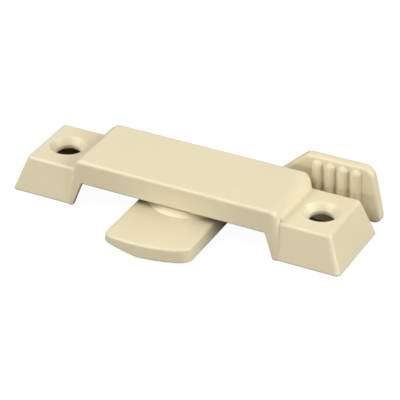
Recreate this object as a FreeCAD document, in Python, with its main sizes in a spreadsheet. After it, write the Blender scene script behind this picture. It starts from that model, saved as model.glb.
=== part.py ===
"""Surface-mounted lock for a sliding window sash.

A bridge-shaped die-cast housing is screwed down through its two feet. A latch lever turns on a rivet
under the bridge: its tongue reaches out in front, and an arm carries an upright thumb plate behind
the right-hand foot. A flat washer and a wave washer on the rivet head give the lever its friction.

Frame: the origin is on the mounting plane, on the pivot axis, midway between the two screw holes.
+X runs along the housing towards the thumb plate, -Y towards the tongue and +Z away from the sash.
"""
import FreeCAD, Part
import math
import os
import Sketcher
from FreeCAD import Vector

# Driving dimensions in millimetres: alias, value, meaning
SIZES = (
    ("hole_spacing", 60.3, "centre to centre of the two mounting screws"),
    ("hole_diameter", 5.4, "clearance hole of a mounting screw"),
    ("sink_diameter", 8.1, "countersink at the top of a foot"),
    ("sink_angle", 82, "countersink angle in degrees"),
    ("foot_height", 8, "top of a foot above the sash"),
    ("foot_roof_thickness", 2.35, "metal under a foot top, round the screw hole"),
    ("foot_end_reach", 8.55, "foot end beyond its screw, at the sash"),
    ("foot_end_setback", 3.05, "lean of a foot's end, from the sash to the foot top"),
    ("foot_base_half_width", 9.8, "half width of a foot at the sash"),
    ("foot_side_setback", 1.85, "lean of a foot's side, from the sash to the foot top"),
    ("foot_corner_radius", 1, "upright corner edges of a foot"),
    ("rim_radius", 0.8, "rounding of the top edges of feet and bridge"),
    ("bridge_height", 10.8, "top of the bridge above the sash"),
    ("riser_gap", 4.35, "bridge end short of the screw, at the sash"),
    ("bridge_end_setback", 2.16, "lean of the bridge's end, from the sash to its top"),
    ("bridge_base_half_width", 9.95, "half width of the bridge at the sash"),
    ("bridge_side_setback", 0.9, "lean of the bridge's side, from the sash to its top"),
    ("bridge_corner_radius", 1.5, "upright corner edges of the bridge"),
    ("riser_top_radius", 1.9, "rounding where the bridge top turns down to a foot"),
    ("riser_foot_radius", 1.2, "hollow rounding where the bridge end meets the foot top"),
    ("arch_height", 5.7, "underside of the bridge walls above the sash"),
    ("leg_thickness", 2.05, "leg between the bridge's end and the arch, at the sash"),
    ("arch_end_setback", 2.1, "lean of a leg's inner face, from the sash to the arch top"),
    ("arch_corner_radius", 0.4, "rounding between a leg and the bridge underside"),
    ("wall", 1.1, "wall of the casting"),
    ("pivot_boss_radius", 5.5, "boss that holds the rivet"),
    ("pivot_boss_face", 5.4, "lower face of the pivot boss above the sash"),
    ("rib_thickness", 1.4, "stiffening ribs under the bridge"),
    ("rib_drop", 1.2, "height of the ribs' lower edges above the bridge walls'"),
    ("lever_bottom", 0.8, "underside of the lever above the sash"),
    ("lever_thickness", 3, "thickness of tongue and arm"),
    ("tongue_gap", 0.8, "space between the turned-in tongue and the leg, at the sash"),
    ("tongue_half_width", 9.7, "half width of the tongue at its underside"),
    ("tongue_front_radius", 30, "curve of the tongue's front edge"),
    ("tongue_front_shift", 3, "foremost point of the curve from the middle, towards the leading side"),
    ("tongue_lead_radius", 2, "leading front corner of the tongue seen from above"),
    ("tongue_rear_radius", 3, "trailing front corner of the tongue seen from above"),
    ("tongue_draft", 6, "lean of the tongue's sides in degrees"),
    ("tongue_edge_radius", 0.6, "rounding of the tongue's top edge"),
    ("ramp_start", 1, "start of the lead-in ramp under the tongue from the middle"),
    ("ramp_angle", 10, "rise of the lead-in ramp in degrees"),
    ("hub_disc_radius", 10.05, "flange of the hub, level with the tongue"),
    ("hub_base_radius", 9.3, "raised hub where it leaves the flange"),
    ("hub_top_radius", 8.7, "flat top of the raised hub"),
    ("hub_chamfer", 0.5, "chamfer height at the hub's top edge"),
    ("hub_skirt", 0.6, "width and height of the sloping foot round the raised hub"),
    ("arm_gap", 2.65, "space between the bend of the arm's front edge and the arch's end"),
    ("arm_back_turn", 10, "bend of the arm's back edge from the pivot, along X"),
    ("arm_turn_radius", 5, "rounding of the arm's bends"),
    ("plate_face", 11.2, "finger face of the thumb plate behind the pivot axis"),
    ("plate_thickness", 2.4, "thickness of the thumb plate"),
    ("plate_height", 13.7, "top of the thumb plate above the sash"),
    ("plate_overhang", 0.6, "plate beyond the foot's end, at its underside"),
    ("plate_end_setback", 3, "lean of the plate's outer end"),
    ("plate_top_length", 14.9, "level top edge of the plate, before rounding"),
    ("plate_root", 10.6, "inner end of the plate where it leaves the arm"),
    ("plate_outer_radius", 2.8, "upper outer corner of the plate"),
    ("plate_inner_radius", 2.2, "upper inner corner of the plate"),
    ("plate_low_radius", 1.8, "lower outer corner of the plate"),
    ("plate_edge_radius", 0.8, "rounding of the plate's edges"),
    ("grip_radius", 1.25, "radius of a finger rib on the plate"),
    ("grip_height", 0.9, "height of a finger rib above the finger face"),
    ("grip_pitch", 2.98, "spacing of the finger ribs"),
    ("grip_margin", 2.6, "first finger rib from the inner end of the level top edge"),
    ("grip_foot", 1.6, "lower end of the finger ribs above the sash"),
    ("grip_top", 12.9, "upper end of the finger ribs above the sash"),
    ("shank_diameter", 5, "rivet shank"),
    ("bore_clearance", 0.06, "radial running clearance of the lever on the shank"),
    ("shank_depth", 3.2, "length of the shank inside the pivot boss"),
    ("bore_spare", 0.3, "blind bore beyond the end of the shank"),
    ("rivet_head_diameter", 8.6, "rivet head"),
    ("rivet_head_thickness", 1.2, "thickness of the rivet head"),
    ("rivet_edge", 0.35, "chamfer at the rivet head and the shank end"),
    ("counterbore_diameter", 10.6, "recess for washers and head under the lever"),
    ("web_thickness", 2, "lever metal between the counterbore and the hub's top"),
    ("washer_diameter", 9.6, "outer diameter of the flat washer"),
    ("washer_thickness", 0.5, "thickness of the flat washer"),
    ("washer_clearance", 0.15, "radial clearance of both washers on the shank"),
    ("wave_diameter", 9, "outer diameter of the wave washer"),
    ("wave_thickness", 0.25, "sheet thickness of the wave washer"),
    ("wave_height", 0.7, "space that the wave washer fills"),
)
# Number of finger ribs on the thumb plate, and of waves round the wave washer
GRIP_COUNT = 4
WAVE_COUNT = 3
# Overrun of a cutting solid past the face it opens, and sinking of a joined solid into its carrier
OVERRUN = 1
SEAT = 0.5
# Half of the gap left between the wave washer's crests and the flat faces on each side
WAVE_PLAY = 0.02

doc = FreeCAD.newDocument("WindowLock")
sheet = doc.addObject("Spreadsheet::Sheet", "sizes")
for row, (alias, value, meaning) in enumerate(SIZES, start=1):
    sheet.set("A%d" % row, alias)
    sheet.set("B%d" % row, str(value))
    sheet.set("C%d" % row, meaning)
    sheet.setAlias("B%d" % row, alias)
doc.recompute()


def bound(text):
    """Prefix every alias in a formula with the sheet's name."""
    words = sorted((alias for alias, _, _ in SIZES), key=len, reverse=True)
    parts = []
    word = ""
    for letter in text + " ":
        if letter.isalnum() or letter == "_":
            word += letter
            continue
        parts.append("sizes." + word if word in words else word)
        parts.append(letter)
        word = ""
    return "".join(parts).strip()


def size(text):
    """Value of a formula in the sheet's sizes."""
    result = sheet.evalExpression(bound(text))
    return float(getattr(result, "Value", result))


def bind(thing, path, text):
    thing.setExpression(path, bound(text))


# Formulas that several sub-parts share
FOOT_BASE_HALF_LENGTH = "(hole_spacing / 2 + foot_end_reach)"
FOOT_TOP_HALF_LENGTH = "(%s - foot_end_setback)" % FOOT_BASE_HALF_LENGTH
FOOT_TOP_HALF_WIDTH = "(foot_base_half_width - foot_side_setback)"
BRIDGE_BASE_HALF_LENGTH = "(hole_spacing / 2 - riser_gap)"
BRIDGE_TOP_HALF_LENGTH = "(%s - bridge_end_setback)" % BRIDGE_BASE_HALF_LENGTH
BRIDGE_TOP_HALF_WIDTH = "(bridge_base_half_width - bridge_side_setback)"
ARCH_BASE_HALF_LENGTH = "(%s - leg_thickness)" % BRIDGE_BASE_HALF_LENGTH
ARCH_TOP_HALF_LENGTH = "(%s - arch_end_setback)" % ARCH_BASE_HALF_LENGTH
RISER_LEAN = "bridge_end_setback / bridge_height"
RISER_AT_FOOT = "%s - foot_height * %s" % (BRIDGE_BASE_HALF_LENGTH, RISER_LEAN)
LEVER_TOP = "lever_bottom + lever_thickness"
BRIDGE_ROOF = "bridge_height - wall"
FOOT_ROOF = "foot_height - foot_roof_thickness"
COUNTERBORE_ROOF = "pivot_boss_face - web_thickness"
WASHER_FACE = COUNTERBORE_ROOF + " - washer_thickness"
HEAD_TOP = WASHER_FACE + " - wave_height"
TONGUE_REACH = "(%s - tongue_gap)" % ARCH_BASE_HALF_LENGTH
ARM_FRONT_TURN = "(%s - arm_gap)" % ARCH_TOP_HALF_LENGTH
PLATE_BACK = "plate_face + plate_thickness"
PLATE_FOOT_END = "(%s + plate_overhang)" % FOOT_BASE_HALF_LENGTH
PLATE_TOP_END = "(%s - plate_end_setback)" % PLATE_FOOT_END
PLATE_TOP_START = "(%s - plate_top_length)" % PLATE_TOP_END


def new_body(name):
    return doc.addObject("PartDesign::Body", name)


def origin_plane(body, role):
    return next(item for item in body.Origin.OriginFeatures if item.Role == role)


def new_sketch(body, name, role, height="0"):
    """Sketch on one of the body's origin planes, moved along the plane's normal by a formula."""
    sketch = body.newObject("Sketcher::SketchObject", name)
    sketch.AttachmentSupport = [(origin_plane(body, role), "")]
    sketch.MapMode = "FlatFace"
    bind(sketch, "AttachmentOffset.Base.z", height)
    return sketch


def pin_point(sketch, geometry, end, across, up):
    """Fix a point of the sketch at two signed distances from the sketch's origin."""
    for kind, text in (("DistanceX", across), ("DistanceY", up)):
        index = sketch.addConstraint(Sketcher.Constraint(kind, -1, 1, geometry, end, size(text)))
        bind(sketch, "Constraints[%d]" % index, text)


def outline(sketch, corners, arcs=None):
    """Closed outline through corners given as formulas.

    arcs maps the number of a side to its radius and centre formulas and to whether it runs clockwise,
    where that side is an arc.
    """
    arcs = arcs or {}
    points = [Vector(size(across), size(up), 0) for across, up in corners]
    count = len(points)
    for side in range(count):
        start = points[side]
        end = points[(side + 1) % count]
        if side in arcs:
            radius, centre, clockwise = arcs[side]
            middle = Vector(size(centre[0]), size(centre[1]), 0)
            angles = [math.atan2(point.y - middle.y, point.x - middle.x) for point in (start, end)]
            if clockwise:
                angles.reverse()
            circle = Part.Circle(middle, Vector(0, 0, 1), size(radius))
            sketch.addGeometry(Part.ArcOfCircle(circle, angles[0], angles[1]))
        else:
            sketch.addGeometry(Part.LineSegment(start, end))
    for side in range(count):
        following = (side + 1) % count
        end = 1 if side in arcs and arcs[side][2] else 2
        begin = 2 if following in arcs and arcs[following][2] else 1
        sketch.addConstraint(Sketcher.Constraint("Coincident", side, end, following, begin))
    for side, (across, up) in enumerate(corners):
        begin = 2 if side in arcs and arcs[side][2] else 1
        pin_point(sketch, side, begin, across, up)
    for side, (radius, _, _) in arcs.items():
        index = sketch.addConstraint(Sketcher.Constraint("Radius", side, size(radius)))
        bind(sketch, "Constraints[%d]" % index, radius)


def circle_at_origin(sketch, radius):
    shape = Part.Circle(Vector(0, 0, 0), Vector(0, 0, 1), size(radius))
    index = sketch.addGeometry(shape)
    sketch.addConstraint(Sketcher.Constraint("Coincident", index, 3, -1, 1))
    index = sketch.addConstraint(Sketcher.Constraint("Radius", index, size(radius)))
    bind(sketch, "Constraints[%d]" % index, radius)


def wedge(body, name, heights, low, high):
    """Block between two heights whose four sides lean.

    low and high give the least X, greatest X and half width of its bottom and top.
    """
    feature = body.newObject("PartDesign::AdditiveWedge", name)
    feature.AttachmentSupport = [(origin_plane(body, "XZ_Plane"), "")]
    feature.MapMode = "FlatFace"
    for path, text in (
        ("Ymin", heights[0]),
        ("Ymax", heights[1]),
        ("Xmin", low[0]),
        ("Xmax", low[1]),
        ("Zmin", "-(%s)" % low[2]),
        ("Zmax", low[2]),
        ("X2min", high[0]),
        ("X2max", high[1]),
        ("Z2min", "-(%s)" % high[2]),
        ("Z2max", high[2]),
    ):
        bind(feature, path, text)
    return feature


def pad(body, name, sketch, length, midplane=False, reverse=False):
    feature = body.newObject("PartDesign::Pad", name)
    feature.Profile = sketch
    feature.Midplane = midplane
    feature.Reversed = reverse
    bind(feature, "Length", length)
    return feature


def revolve(body, name, sketch):
    feature = body.newObject("PartDesign::Revolution", name)
    feature.Profile = sketch
    feature.ReferenceAxis = (sketch, ["V_Axis"])
    feature.Angle = 360
    return feature


def fillet(body, name, radius, chosen):
    """Round the edges of the body's tip that the chosen test accepts."""
    doc.recompute()
    base = body.Tip
    edges = ["Edge%d" % number for number, edge in enumerate(base.Shape.Edges, start=1) if chosen(edge)]
    feature = body.newObject("PartDesign::Fillet", name)
    feature.Base = (base, edges)
    bind(feature, "Radius", radius)
    return feature


def near(value, text):
    return abs(value - size(text)) < 0.001


def cylinder(name, radius, height, base=("0", "0", "0")):
    shape = doc.addObject("Part::Cylinder", name)
    bind(shape, "Radius", radius)
    bind(shape, "Height", height)
    place(shape, base)
    return shape


def cone(name, low_radius, high_radius, height, base):
    shape = doc.addObject("Part::Cone", name)
    bind(shape, "Radius1", low_radius)
    bind(shape, "Radius2", high_radius)
    bind(shape, "Height", height)
    place(shape, base)
    return shape


def box(name, length, width, height, base):
    shape = doc.addObject("Part::Box", name)
    bind(shape, "Length", length)
    bind(shape, "Width", width)
    bind(shape, "Height", height)
    place(shape, base)
    return shape


def place(shape, base):
    for axis, text in zip("xyz", base):
        bind(shape, "Placement.Base." + axis, text)


def fuse(name, shapes):
    joined = doc.addObject("Part::MultiFuse", name)
    joined.Shapes = shapes
    joined.Refine = True
    return joined


def cut(name, base, tool):
    result = doc.addObject("Part::Cut", name)
    result.Base = base
    result.Tool = tool
    result.Refine = True
    return result


def mirrored(name, source):
    """Copy of a solid on the other side of the pivot, along X."""
    copy = doc.addObject("Part::Mirroring", name)
    copy.Source = source
    copy.Normal = (1, 0, 0)
    return copy


# Housing: splayed feet

def make_feet():
    body = new_body("FeetForm")
    wedge(
        body, "FeetBlock", ("0", "foot_height"),
        ("-" + FOOT_BASE_HALF_LENGTH, FOOT_BASE_HALF_LENGTH, "foot_base_half_width"),
        ("-" + FOOT_TOP_HALF_LENGTH, FOOT_TOP_HALF_LENGTH, FOOT_TOP_HALF_WIDTH),
    )
    fillet(
        body, "FeetCorners", "foot_corner_radius",
        lambda edge: near(edge.CenterOfMass.z, "foot_height / 2"),
    )
    fillet(body, "FeetRims", "rim_radius", lambda edge: near(edge.CenterOfMass.z, "foot_height"))
    return body


# Housing: raised bridge with its rounded ends

def make_bridge():
    """Block with rounded corners whose rim radius grows round each corner towards the risers."""
    body = new_body("BridgeForm")
    wedge(
        body, "BridgeBlock", ("0", "bridge_height"),
        ("-" + BRIDGE_BASE_HALF_LENGTH, BRIDGE_BASE_HALF_LENGTH, "bridge_base_half_width"),
        ("-" + BRIDGE_TOP_HALF_LENGTH, BRIDGE_TOP_HALF_LENGTH, BRIDGE_TOP_HALF_WIDTH),
    )
    fillet(
        body, "BridgeCorners", "bridge_corner_radius",
        lambda edge: near(edge.CenterOfMass.z, "bridge_height / 2"),
    )
    doc.recompute()
    rim = size("rim_radius")
    riser = size("riser_top_radius")
    # The rim is one loop that runs counterclockwise seen from above. A corner edge takes its two
    # radii in that order, so they swap from each corner to the next.
    rounded = []
    for number, edge in enumerate(body.Shape.Edges, start=1):
        middle = edge.CenterOfMass
        if not near(middle.z, "bridge_height"):
            continue
        if near(middle.x, "0"):
            rounded.append((number, rim, rim))
        elif near(middle.y, "0"):
            rounded.append((number, riser, riser))
        elif middle.x * middle.y > 0:
            rounded.append((number, riser, rim))
        else:
            rounded.append((number, rim, riser))
    rims = doc.addObject("Part::Fillet", "BridgeRims")
    rims.Base = body
    rims.Edges = rounded
    return rims


def make_riser_flare():
    """Hollow rounding at the foot of the bridge's end, on the flat part of the foot top."""
    body = new_body("FlareForm")
    sketch = new_sketch(body, "FlareProfile", "XZ_Plane")
    lean = "atan(%s)" % RISER_LEAN
    reach = "riser_foot_radius * tan(45 deg - %s / 2)" % lean
    low_x = "%s + %s" % (RISER_AT_FOOT, reach)
    high_x = "%s - %s * sin(%s)" % (RISER_AT_FOOT, reach, lean)
    high_z = "foot_height + %s * cos(%s)" % (reach, lean)
    inner_x = "%s - %g" % (high_x, SEAT)
    low_z = "foot_height - %g" % SEAT
    corners = (
        (low_x, "foot_height"),
        (high_x, high_z),
        (inner_x, high_z),
        (inner_x, low_z),
        (low_x, low_z),
    )
    centre = (low_x, "foot_height + riser_foot_radius")
    outline(sketch, corners, {0: ("riser_foot_radius", centre, True)})
    half_angle = "(90 deg - atan(foot_side_setback / foot_height)) / 2"
    half_width = "%s - rim_radius * tan(%s)" % (FOOT_TOP_HALF_WIDTH, half_angle)
    pad(body, "FlarePad", sketch, "2 * (%s)" % half_width, midplane=True)
    return body


# Housing: opening under the bridge and hollows of the casting

def make_arch():
    body = new_body("ArchForm")
    sketch = new_sketch(body, "ArchProfile", "XZ_Plane")
    below = "-%g" % OVERRUN
    outline(sketch, (
        ("-" + ARCH_BASE_HALF_LENGTH, below),
        (ARCH_BASE_HALF_LENGTH, below),
        (ARCH_BASE_HALF_LENGTH, "0"),
        (ARCH_TOP_HALF_LENGTH, "arch_height"),
        ("-" + ARCH_TOP_HALF_LENGTH, "arch_height"),
        ("-" + ARCH_BASE_HALF_LENGTH, "0"),
    ))
    pad(body, "ArchPad", sketch, "2 * (bridge_base_half_width + %g)" % OVERRUN, midplane=True)
    fillet(
        body, "ArchCorners", "arch_corner_radius",
        lambda edge: near(edge.CenterOfMass.z, "arch_height") and near(edge.CenterOfMass.y, "0"),
    )
    return body


def make_foot_hollow():
    """Hollow under the right foot, open towards the arch."""
    body = new_body("FootHollow")
    lean = "foot_end_setback / foot_height * (%s)" % FOOT_ROOF
    narrow = "foot_side_setback / foot_height * (%s)" % FOOT_ROOF
    half_width = "foot_base_half_width - wall"
    outer_end = FOOT_BASE_HALF_LENGTH + " - wall"
    inner_end = "%s - %g" % (ARCH_TOP_HALF_LENGTH, OVERRUN)
    wedge(
        body, "FootHollowBlock", ("0", FOOT_ROOF),
        (inner_end, outer_end, half_width),
        (inner_end, "%s - %s" % (outer_end, lean), "%s - %s" % (half_width, narrow)),
    )
    return body


def riser_inside(height):
    """Inner face of the bridge's end wall at a height, as a formula."""
    return "%s - wall - %s * (%s)" % (BRIDGE_BASE_HALF_LENGTH, RISER_LEAN, height)


def make_bridge_hollow():
    """Hollow inside the bridge's walls and legs."""
    body = new_body("BridgeHollow")
    slope = "bridge_side_setback / bridge_height"
    ends = []
    for height in ("0", BRIDGE_ROOF):
        end = riser_inside(height)
        half_width = "bridge_base_half_width - wall - %s * (%s)" % (slope, height)
        ends.append(("-(%s)" % end, end, half_width))
    wedge(body, "BridgeHollowBlock", ("0", BRIDGE_ROOF), *ends)
    return body


def make_boss_and_ribs():
    """Pivot boss, and the ribs that tie it to the walls."""
    boss_height = "%s + %g - pivot_boss_face" % (BRIDGE_ROOF, SEAT)
    boss = cylinder("PivotBoss", "pivot_boss_radius", boss_height, ("0", "0", "pivot_boss_face"))
    low = "arch_height + rib_drop"
    high = "%s + %g" % (BRIDGE_ROOF, SEAT)
    half = "rib_thickness / 2"
    ends = []
    for height in (low, high):
        end = "%s + %g" % (riser_inside(height), SEAT)
        ends.append(("-(%s)" % end, end, half))
    long_rib = new_body("LongRib")
    wedge(long_rib, "LongRibBlock", (low, high), *ends)
    across = "%s - wall + %g" % (BRIDGE_TOP_HALF_WIDTH, SEAT)
    cross_rib = box(
        "CrossRib", "rib_thickness", "2 * (%s)" % across, "%s - (%s)" % (high, low),
        ("-" + half, "-(%s)" % across, low),
    )
    return [boss, long_rib, cross_rib]


def make_screw_holes():
    """Through holes with their countersinks, and the blind bore of the pivot boss."""
    tools = []
    hole_radius = "hole_diameter / 2"
    half_angle = "tan(sink_angle / 2)"
    depth = "(sink_diameter - hole_diameter) / 2 / %s" % half_angle
    for name, side in (("Left", "-"), ("Right", "")):
        middle = side + "hole_spacing / 2"
        tools.append(cylinder(
            name + "Hole", hole_radius, "foot_height + %g" % (2 * OVERRUN), (middle, "0", "-%g" % OVERRUN),
        ))
        tools.append(cone(
            name + "Sink", hole_radius, "sink_diameter / 2 + %g * %s" % (OVERRUN, half_angle),
            "%s + %g" % (depth, OVERRUN), (middle, "0", "foot_height - " + depth),
        ))
    tools.append(cylinder(
        "RivetBore", "shank_diameter / 2", "shank_depth + bore_spare + %g" % OVERRUN,
        ("0", "0", "pivot_boss_face - %g" % OVERRUN),
    ))
    return tools


def make_housing():
    flare = make_riser_flare()
    outside = fuse("HousingOutside", [
        make_feet(), make_bridge(), flare, mirrored("LeftFlare", flare),
    ])
    hollow = make_foot_hollow()
    hollows = fuse("HousingHollows", [
        make_arch(), make_bridge_hollow(), hollow, mirrored("LeftHollow", hollow),
    ])
    shell = cut("HousingShell", outside, hollows)
    ribbed = fuse("HousingRibbed", [shell] + make_boss_and_ribs())
    return cut("Housing", ribbed, fuse("HousingHoles", make_screw_holes()))


# Latch lever

def make_tongue():
    """Flat tongue with a curved front, its sides leaning in towards the top."""
    body = new_body("TongueForm")
    sketch = new_sketch(body, "TongueOutline", "XY_Plane", "lever_bottom")
    centre = ("-tongue_front_shift", "tongue_front_radius - " + TONGUE_REACH)
    drop = centre[1] + " - sqrt(tongue_front_radius ^ 2 - (tongue_half_width %s tongue_front_shift) ^ 2)"
    corners = (
        ("-tongue_half_width", drop % "-"),
        ("tongue_half_width", drop % "+"),
        ("tongue_half_width", "0"),
        ("-tongue_half_width", "0"),
    )
    outline(sketch, corners, {0: ("tongue_front_radius", centre, False)})
    feature = pad(body, "TonguePad", sketch, "lever_thickness")
    bind(feature, "TaperAngle", "-tongue_draft")
    middle = "lever_bottom + lever_thickness / 2"
    for name, radius, side in (
        ("LeadCorner", "tongue_lead_radius", -1),
        ("RearCorner", "tongue_rear_radius", 1),
    ):
        fillet(
            body, name, radius,
            lambda edge: near(edge.CenterOfMass.z, middle) and side * edge.CenterOfMass.x > 0
            and edge.CenterOfMass.y < -size(TONGUE_REACH) / 2,
        )
    fillet(
        body, "TongueEdge", "tongue_edge_radius",
        lambda edge: near(edge.CenterOfMass.z, LEVER_TOP) and edge.CenterOfMass.y < -size("hub_base_radius"),
    )
    return cut("Tongue", body, make_ramp())


def make_ramp():
    """Wedge of the lead-in ramp under the leading side of the tongue."""
    body = new_body("RampForm")
    sketch = new_sketch(body, "RampProfile", "XZ_Plane")
    far = "tongue_half_width + %g" % OVERRUN
    below = "lever_bottom - %g" % OVERRUN
    outline(sketch, (
        ("-ramp_start", below),
        ("-ramp_start", "lever_bottom"),
        ("-(%s)" % far, "lever_bottom + (%s - ramp_start) * tan(ramp_angle)" % far),
        ("-(%s)" % far, below),
    ))
    pad(body, "RampPad", sketch, "2 * (%s + %g)" % (TONGUE_REACH, OVERRUN), midplane=True)
    return body


def make_hub():
    body = new_body("HubForm")
    sketch = new_sketch(body, "HubProfile", "XZ_Plane")
    wall_top = "pivot_boss_face - hub_chamfer"
    wall_lean = "hub_top_radius + hub_chamfer"
    outline(sketch, (
        ("0", "lever_bottom"),
        ("hub_disc_radius", "lever_bottom"),
        ("hub_disc_radius", LEVER_TOP),
        ("hub_base_radius + hub_skirt", LEVER_TOP),
        ("hub_base_radius", LEVER_TOP + " + hub_skirt"),
        (wall_lean, wall_top),
        ("hub_top_radius", "pivot_boss_face"),
        ("0", "pivot_boss_face"),
    ))
    revolve(body, "HubTurned", sketch)
    return body


def make_arm():
    """Bar that leaves the hub at the back right and carries the thumb plate."""
    body = new_body("ArmForm")
    sketch = new_sketch(body, "ArmOutline", "XY_Plane", "lever_bottom")
    inside = "hub_disc_radius - %g" % (SEAT / 2)
    turn_y = "plate_face - plate_thickness"
    end_x = ARM_FRONT_TURN + " + plate_thickness"
    outline(sketch, (
        ("0", "0"),
        (inside, "0"),
        (ARM_FRONT_TURN, turn_y),
        (end_x, "plate_face + %g" % SEAT),
        (end_x, PLATE_BACK),
        ("arm_back_turn", PLATE_BACK),
        ("0", inside),
    ))
    pad(body, "ArmPad", sketch, "lever_thickness")
    fillet(
        body, "ArmTurns", "arm_turn_radius",
        lambda edge: near(edge.CenterOfMass.z, "lever_bottom + lever_thickness / 2")
        and near(edge.CenterOfMass.x, "arm_back_turn"),
    )
    return body


def make_plate():
    body = new_body("PlateForm")
    sketch = new_sketch(body, "PlateOutline", "XZ_Plane", "-(%s)" % PLATE_BACK)
    outline(sketch, (
        ("plate_root", "lever_bottom"),
        (PLATE_FOOT_END, "lever_bottom"),
        (PLATE_TOP_END, "plate_height"),
        (PLATE_TOP_START, "plate_height"),
        ("plate_root", LEVER_TOP),
    ))
    pad(body, "PlatePad", sketch, "plate_thickness")
    for name, radius, across, up in (
        ("PlateOuterCorner", "plate_outer_radius", PLATE_TOP_END, "plate_height"),
        ("PlateInnerCorner", "plate_inner_radius", PLATE_TOP_START, "plate_height"),
        ("PlateLowCorner", "plate_low_radius", PLATE_FOOT_END, "lever_bottom"),
    ):
        fillet(body, name, radius, lambda edge: near(edge.CenterOfMass.x, across) and near(edge.CenterOfMass.z, up))
    fillet(
        body, "PlateEdges", "plate_edge_radius",
        lambda edge: near(edge.CenterOfMass.z, "plate_height"),
    )
    add_grips(body)
    return body


def add_grips(body):
    """Upright finger ribs with domed tops, half sunk in the plate."""
    depth = "plate_face + grip_radius - grip_height"
    sketch = new_sketch(body, "GripProfile", "XZ_Plane", "-(%s)" % depth)
    bind(sketch, "AttachmentOffset.Base.x", PLATE_TOP_START + " + grip_margin")
    corners = (
        ("0", "grip_foot"),
        ("grip_radius", "grip_foot"),
        ("grip_radius", "grip_top - grip_radius"),
        ("0", "grip_top"),
    )
    centre = ("0", "grip_top - grip_radius")
    outline(sketch, corners, {2: ("grip_radius", centre, False)})
    first = revolve(body, "Grip", sketch)
    pattern = body.newObject("PartDesign::LinearPattern", "Grips")
    pattern.Originals = [first]
    pattern.Direction = (sketch, ["H_Axis"])
    bind(pattern, "Length", "grip_pitch * %d" % (GRIP_COUNT - 1))
    pattern.Occurrences = GRIP_COUNT
    body.Tip = pattern


def make_lever():
    form = fuse("LeverForm", [make_tongue(), make_hub(), make_arm(), make_plate()])
    bore = cylinder(
        "LeverBore", "shank_diameter / 2 + bore_clearance", "pivot_boss_face + %g" % OVERRUN, ("0", "0", "0"),
    )
    recess = cylinder("LeverRecess", "counterbore_diameter / 2", COUNTERBORE_ROOF, ("0", "0", "0"))
    return cut("LatchLever", form, fuse("LeverHoles", [bore, recess]))


# Rivet and washers

def make_rivet():
    """Shank pressed into the pivot boss, with a flat head below the washers."""
    body = new_body("RivetForm")
    sketch = new_sketch(body, "RivetProfile", "XZ_Plane")
    head_radius = "rivet_head_diameter / 2"
    shank_radius = "shank_diameter / 2"
    head_bottom = HEAD_TOP + " - rivet_head_thickness"
    shank_end = "pivot_boss_face + shank_depth"
    outline(sketch, (
        ("0", head_bottom),
        (head_radius + " - rivet_edge", head_bottom),
        (head_radius, head_bottom + " + rivet_edge"),
        (head_radius, HEAD_TOP),
        (shank_radius, HEAD_TOP),
        (shank_radius, shank_end + " - rivet_edge"),
        (shank_radius + " - rivet_edge", shank_end),
        ("0", shank_end),
    ))
    revolve(body, "RivetTurned", sketch)
    return body


def make_flat_washer():
    body = new_body("WasherForm")
    sketch = new_sketch(body, "WasherOutline", "XY_Plane", WASHER_FACE)
    circle_at_origin(sketch, "washer_diameter / 2")
    circle_at_origin(sketch, "shank_diameter / 2 + washer_clearance")
    pad(body, "WasherPad", sketch, "washer_thickness")
    return body


def wave_circle(radius, height, rise):
    """Closed smooth curve round the pivot that waves up and down."""
    steps = 4 * WAVE_COUNT
    points = []
    for step in range(steps):
        turn = 2 * math.pi * step / steps
        lift = height + rise * math.sin(WAVE_COUNT * turn)
        points.append(Vector(radius * math.cos(turn), radius * math.sin(turn), lift))
    curve = Part.BSplineCurve()
    curve.interpolate(points, PeriodicFlag=True)
    return curve.toShape()


def make_wave_washer():
    """Thin ring with three waves, a little shallower than the space between head and washer."""
    outer = size("wave_diameter / 2")
    inner = size("shank_diameter / 2 + washer_clearance")
    thickness = size("wave_thickness")
    middle = size(HEAD_TOP) + size("wave_height") / 2
    rise = (size("wave_height") - thickness) / 2 - WAVE_PLAY
    rings = [
        wave_circle(radius, middle + level, rise)
        for radius, level in (
            (inner, -thickness / 2), (outer, -thickness / 2), (outer, thickness / 2), (inner, thickness / 2),
        )
    ]
    faces = [Part.makeRuledSurface(rings[side - 1], rings[side]) for side in range(4)]
    shell = Part.Shell(faces)
    feature = doc.addObject("Part::Feature", "WaveForm")
    solid = Part.Solid(shell)
    if solid.Volume < 0:
        solid.reverse()
    feature.Shape = solid
    return feature


def check_document():
    """Stop if any object failed to compute."""
    doc.recompute()
    for thing in doc.Objects:
        if "Invalid" in thing.State or "Error" in thing.State:
            raise RuntimeError("%s failed: %s" % (thing.Name, thing.State))


def export(parts):
    os.makedirs("parts", exist_ok=True)
    for label, thing in parts.items():
        thing.Label = label
        shape = thing.Shape
        if shape.isNull() or not shape.isValid() or len(shape.Solids) != 1:
            raise RuntimeError("%s is not one valid solid" % label)
        shape.exportStep("parts/%s.step" % label)
        print("%s: %.1f cubic millimetres" % (label, shape.Volume))


sub_parts = {
    "housing": make_housing(),
    "latch_lever": make_lever(),
    "pivot_rivet": make_rivet(),
    "flat_washer": make_flat_washer(),
    "wave_washer": make_wave_washer(),
}
check_document()
export(sub_parts)
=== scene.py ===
"""Sliding window lock, seen as in its product photograph: enamelled die-castings on a white floor.

The five CAD solids carry the shapes, so they stay and get their finishes here. Lengths are in
metres, in the CAD frame: origin on the mounting plane under the pivot, +X towards the thumb plate,
+Z up.
"""
import math

import bpy
from mathutils import Matrix, Vector

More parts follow.
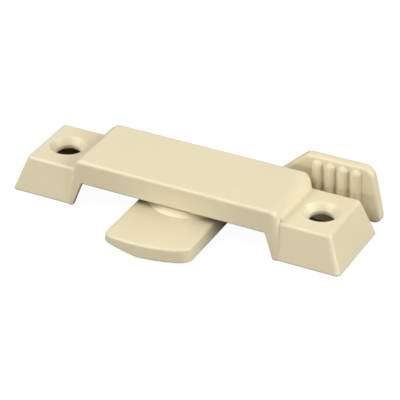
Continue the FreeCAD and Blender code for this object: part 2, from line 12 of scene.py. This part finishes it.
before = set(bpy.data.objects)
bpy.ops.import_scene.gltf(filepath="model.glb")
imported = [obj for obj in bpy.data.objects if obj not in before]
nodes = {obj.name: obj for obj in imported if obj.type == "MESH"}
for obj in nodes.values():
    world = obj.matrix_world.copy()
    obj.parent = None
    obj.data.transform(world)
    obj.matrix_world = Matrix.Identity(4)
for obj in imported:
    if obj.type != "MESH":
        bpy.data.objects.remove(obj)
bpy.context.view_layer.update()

MM = 0.001


# Node helpers

def new_material(name):
    """Empty node tree with a Principled shader on its output."""
    material = bpy.data.materials.new(name)
    material.use_nodes = True
    tree = material.node_tree
    tree.nodes.clear()
    output = tree.nodes.new("ShaderNodeOutputMaterial")
    shader = tree.nodes.new("ShaderNodeBsdfPrincipled")
    tree.links.new(shader.outputs["BSDF"], output.inputs["Surface"])
    return material, tree, shader


def add(tree, kind, values=None, links=None, **settings):
    """Node of a kind with its settings, socket values and incoming links."""
    node = tree.nodes.new(kind)
    for key, value in settings.items():
        setattr(node, key, value)
    for key, value in (values or {}).items():
        node.inputs[key].default_value = value
    for key, socket in (links or {}).items():
        tree.links.new(socket, node.inputs[key])
    return node


def position(tree):
    return add(tree, "ShaderNodeTexCoord").outputs["Object"]


def calculate(tree, operation, first, second):
    """Result of a maths node on a socket and either another socket or a number."""
    node = add(tree, "ShaderNodeMath", links={0: first}, operation=operation)
    if isinstance(second, float):
        node.inputs[1].default_value = second
    else:
        tree.links.new(second, node.inputs[1])
    return node.outputs["Value"]


def noise(tree, where, grain, detail=2.0, roughness=0.5):
    """Noise from 0 to 1 whose blobs are about grain metres wide."""
    node = add(
        tree, "ShaderNodeTexNoise",
        {"Scale": 1.0 / grain, "Detail": detail, "Roughness": roughness}, {"Vector": where},
    )
    return node.outputs["Fac"]


def spread(tree, factor, low, high, start=0.3, end=0.7):
    """Map a factor between start and end onto low to high."""
    node = add(
        tree, "ShaderNodeMapRange",
        {"From Min": start, "From Max": end, "To Min": low, "To Max": high}, {"Value": factor},
    )
    return node.outputs["Result"]


def blend_colours(tree, factor, first, second):
    """Mix of two colours, each given as a socket or a tuple."""
    node = add(tree, "ShaderNodeMix", data_type="RGBA")
    tree.links.new(factor, node.inputs[0])
    for socket, colour in ((node.inputs[6], first), (node.inputs[7], second)):
        if isinstance(colour, tuple):
            socket.default_value = (*colour, 1)
        else:
            tree.links.new(colour, socket)
    return node.outputs[2]


def round_edges(tree, radius, samples):
    """Normal that shades the edges as if they were rounded."""
    return add(tree, "ShaderNodeBevel", {"Radius": radius}, samples=samples).outputs["Normal"]


def bump(tree, height, depth, strength, normal):
    """Normal roughened by a height factor that is depth metres deep."""
    node = add(
        tree, "ShaderNodeBump", {"Strength": strength, "Distance": depth},
        {"Height": height, "Normal": normal},
    )
    return node.outputs["Normal"]


# Enamel: linear colours, the sizes of its clouds, specks, dull patches, orange peel and grain, the
# noise values over which specks fade in, and the cosines of the bend over which edges fade out

ALMOND = (0.64, 0.572, 0.386)
ALMOND_DEEP = (0.62, 0.548, 0.362)
ALMOND_PALE = (0.67, 0.61, 0.432)
CLOUD_SIZE = 14 * MM
SPECK_SIZE = 0.5 * MM
SPECK_RANGE = (0.6, 0.8)
SPECK_PALING = 0.35
ENAMEL_EDGE = 0.35 * MM
EDGE_COSINES = (0.8, 0.99)
# How much paler the rims are painted: a painted highlight on the edges, not thinner enamel.
EDGE_HIGHLIGHT_PALING = 0.2
PATCH_SIZE = 5 * MM
ENAMEL_ROUGHNESS = (0.42, 0.5)
PEEL_SIZE = 1.6 * MM
PEEL_DEPTH = 0.06 * MM
GRAIN_SIZE = 0.25 * MM
GRAIN_DEPTH = 0.015 * MM


def edge_highlight_mask(tree, rounded, strength):
    """0 on flat faces, rising to strength where the rounded normal departs from the true one."""
    true_normal = add(tree, "ShaderNodeNewGeometry").outputs["Normal"]
    cosine = add(
        tree, "ShaderNodeVectorMath", links={0: true_normal, 1: rounded}, operation="DOT_PRODUCT",
    ).outputs["Value"]
    return spread(tree, cosine, strength, 0.0, *EDGE_COSINES)


def almond_enamel():
    """Baked enamel on a die-casting: satin, softly pooled, with its edges painted paler as a
    highlight.
    """
    material, tree, shader = new_material("almond_enamel")
    where = position(tree)
    rounded = round_edges(tree, ENAMEL_EDGE, samples=8)

    clouds = spread(tree, noise(tree, where, CLOUD_SIZE, detail=3.0), 0.0, 1.0)
    body = blend_colours(tree, clouds, ALMOND_DEEP, ALMOND)
    specks = noise(tree, where, SPECK_SIZE, detail=3.0, roughness=0.7)
    specks = spread(tree, specks, 0.0, SPECK_PALING, *SPECK_RANGE)
    body = blend_colours(tree, specks, body, ALMOND_PALE)
    # Rims painted paler where the shading normal is rounded: a painted highlight.
    body = blend_colours(tree, edge_highlight_mask(tree, rounded, EDGE_HIGHLIGHT_PALING), body, ALMOND_PALE)
    tree.links.new(body, shader.inputs["Base Color"])

    patches = noise(tree, where, PATCH_SIZE, detail=3.0)
    tree.links.new(spread(tree, patches, *ENAMEL_ROUGHNESS), shader.inputs["Roughness"])
    peel = noise(tree, where, PEEL_SIZE)
    peeled = bump(tree, peel, PEEL_DEPTH, strength=0.35, normal=rounded)
    grain = noise(tree, where, GRAIN_SIZE, detail=3.0, roughness=0.6)
    grained = bump(tree, grain, GRAIN_DEPTH, strength=0.3, normal=peeled)
    tree.links.new(grained, shader.inputs["Normal"])
    shader.inputs["IOR"].default_value = 1.5
    shader.inputs["Coat Weight"].default_value = 0.1
    shader.inputs["Coat Roughness"].default_value = 0.24
    return material


# Steel of the pivot's small parts

STEEL_CLOUD_SIZE = 2.5 * MM
STEEL_EDGE = 0.1 * MM
RING_DEPTH = 0.01 * MM
RING_ROUGHENING = 0.15


def turned_steel(name, bright, dull, ring, roughness):
    """Steel with turning rings, ring metres wide, round the pivot axis and cloudy plating."""
    material, tree, shader = new_material(name)
    where = position(tree)
    flat = add(tree, "ShaderNodeVectorMath", {1: (1, 1, 0)}, {0: where}, operation="MULTIPLY")
    reach = add(
        tree, "ShaderNodeVectorMath", links={0: flat.outputs["Vector"]}, operation="LENGTH",
    )
    rings = add(
        tree, "ShaderNodeTexNoise", {"Scale": 1.0 / ring, "Detail": 3.0},
        {"W": reach.outputs["Value"]}, noise_dimensions="1D",
    ).outputs["Fac"]

    clouds = spread(tree, noise(tree, where, STEEL_CLOUD_SIZE, detail=3.0), 0.0, 1.0)
    tree.links.new(blend_colours(tree, clouds, dull, bright), shader.inputs["Base Color"])
    dullness = spread(tree, rings, roughness, roughness + RING_ROUGHENING)
    tree.links.new(dullness, shader.inputs["Roughness"])
    rounded = round_edges(tree, STEEL_EDGE, samples=4)
    turned = bump(tree, rings, RING_DEPTH, strength=0.4, normal=rounded)
    tree.links.new(turned, shader.inputs["Normal"])
    shader.inputs["Metallic"].default_value = 1.0
    return material


def dress():
    """Give each CAD node its finish."""
    enamel = almond_enamel()
    plate = turned_steel(
        "zinc_plate", bright=(0.74, 0.74, 0.71), dull=(0.62, 0.62, 0.60), ring=0.12 * MM,
        roughness=0.24,
    )
    spring = turned_steel(
        "spring_steel", bright=(0.46, 0.46, 0.47), dull=(0.34, 0.34, 0.36), ring=0.3 * MM,
        roughness=0.3,
    )
    for name, material in (
        ("housing", enamel),
        ("latch_lever", enamel),
        ("pivot_rivet", plate),
        ("flat_washer", plate),
        ("wave_washer", spring),
    ):
        for slot in nodes[name].material_slots:
            slot.link = "OBJECT"
            slot.material = material


# Floor: a square with leaning walls, and its painted shade spots in line with the camera and the
# lower and the upper rim of each screw hole

FLOOR_HALF = 3.0
FLOOR_HEIGHT = -0.02 * MM
WALL_TOP_HALF = 3.4
WALL_TOP_HEIGHT = 3.0
FLOOR_GLOW = 0.96
FLOOR_ALBEDO = 0.06
WHITE = (1, 1, 1)
# Painted shade for the floor inside the feet, tinted brown as a painted reflection of the enamel.
SHADE_UNDER_FEET = (0.030, 0.018, 0.010)
HOLE_SIGHTS = (
    ((26.5 * MM, 8.44 * MM, 0), (26.0 * MM, 9.64 * MM, 0)),
    ((-35.2 * MM, 8.44 * MM, 0), (-35.9 * MM, 9.64 * MM, 0)),
)
SIGHT_RADIUS = 2.95 * MM
BACK_WALL_Y = 9.1 * MM


def painted_shade_under_feet(tree):
    """1 on the floor that the screw holes look down on inside the hollow feet, painted in shade;
    else 0.
    """
    where = position(tree)
    depth = add(tree, "ShaderNodeSeparateXYZ", links={"Vector": where}).outputs["Y"]
    inside = calculate(tree, "LESS_THAN", depth, BACK_WALL_Y)
    seen = None
    for rims in HOLE_SIGHTS:
        both = inside
        for spot in rims:
            reach = add(tree, "ShaderNodeVectorMath", {1: spot}, {0: where}, operation="DISTANCE")
            near = calculate(tree, "LESS_THAN", reach.outputs["Value"], SIGHT_RADIUS)
            both = calculate(tree, "MULTIPLY", both, near)
        seen = both if seen is None else calculate(tree, "MAXIMUM", seen, both)
    return seen


def square(half, height):
    """Corners of a level square, counterclockwise."""
    return [(x * half, y * half, height) for x, y in ((-1, -1), (1, -1), (1, 1), (-1, 1))]


def make_floor():
    """White sweep, walled for low views, that stays white under the lock and throws no light up."""
    mesh = bpy.data.meshes.new("studio_floor")
    corners = square(FLOOR_HALF, FLOOR_HEIGHT) + square(WALL_TOP_HALF, WALL_TOP_HEIGHT)
    walls = [(side, (side + 1) % 4, (side + 1) % 4 + 4, side + 4) for side in range(4)]
    mesh.from_pydata(corners, [], [(0, 1, 2, 3), *walls])
    floor = bpy.data.objects.new("studio_floor", mesh)
    bpy.context.scene.collection.objects.link(floor)
    floor.visible_diffuse = False
    floor.visible_glossy = False

    material, tree, shader = new_material("studio_white")
    shader.inputs["Base Color"].default_value = (FLOOR_ALBEDO, FLOOR_ALBEDO, FLOOR_ALBEDO, 1)
    shader.inputs["Roughness"].default_value = 0.9
    shader.inputs["Specular IOR Level"].default_value = 0.0
    # White glow, except for painted shade on the floor inside the hollow feet, seen down the screw
    # holes.
    glow = blend_colours(tree, painted_shade_under_feet(tree), WHITE, SHADE_UNDER_FEET)
    tree.links.new(glow, shader.inputs["Emission Color"])
    shader.inputs["Emission Strength"].default_value = FLOOR_GLOW
    mesh.materials.append(material)


# Lights: name, place, width and height in metres, and watts of each soft box. All face the origin.
# The key on the left and the two on the right stand where the streaks in the countersinks show
# them, the back wall shines on the tops, and the low one fills the fronts.

SOFT_BOXES = (
    ("key_left", (-0.50, -0.40, 0.70), 0.75, 0.60, 9.8),
    ("side_right", (0.80, -0.05, 0.34), 0.80, 0.50, 7.7),
    ("back_right", (0.72, 0.36, 0.52), 0.60, 0.50, 2.9),
    ("back_wall", (-0.45, 0.88, 0.60), 1.00, 0.60, 2.2),
    ("low_front", (-0.10, -0.75, 0.08), 0.80, 0.14, 2.0),
)
WORLD_COLOUR = (1.0, 0.76, 0.48)
WORLD_STRENGTH = 0.018


def light_studio():
    """Faint warm world, which reaches the hollows through the floor, and the soft boxes."""
    world = bpy.data.worlds.new("studio_world")
    world.use_nodes = True
    background = world.node_tree.nodes["Background"]
    background.inputs["Color"].default_value = (*WORLD_COLOUR, 1)
    background.inputs["Strength"].default_value = WORLD_STRENGTH
    bpy.context.scene.world = world
    for name, place, width, height, power in SOFT_BOXES:
        data = bpy.data.lights.new(name, "AREA")
        data.shape = "RECTANGLE"
        data.size = width
        data.size_y = height
        data.energy = power
        light = bpy.data.objects.new(name, data)
        light.location = place
        light.rotation_euler = (-Vector(place)).to_track_quat("-Z", "Y").to_euler()
        bpy.context.scene.collection.objects.link(light)


# Camera fitted to the photograph, which is square. Lens and sensor are in millimetres.

AZIMUTH = math.radians(26.98)
ELEVATION = math.radians(31.43)
DISTANCE = 476.48 * MM
PAN_RIGHT = 1.718 * MM
PAN_UP = 2.075 * MM
LENS = 200.6
SENSOR_WIDTH = 36


def make_camera():
    back = Vector((
        math.sin(AZIMUTH) * math.cos(ELEVATION),
        -math.cos(AZIMUTH) * math.cos(ELEVATION),
        math.sin(ELEVATION),
    ))
    right = Vector((math.cos(AZIMUTH), math.sin(AZIMUTH), 0))
    up = back.cross(right)
    axes = Matrix((right, up, back)).transposed().to_4x4()
    place = right * PAN_RIGHT + up * PAN_UP + back * DISTANCE
    data = bpy.data.cameras.new("photo_camera")
    data.sensor_width = SENSOR_WIDTH
    data.lens = LENS
    data.clip_start = 0.01
    data.clip_end = 20
    camera = bpy.data.objects.new("photo_camera", data)
    camera.matrix_world = Matrix.Translation(place) @ axes
    bpy.context.scene.collection.objects.link(camera)
    bpy.context.scene.camera = camera


dress()
make_floor()
light_studio()
make_camera()
bpy.context.scene.view_settings.view_transform = "Standard"
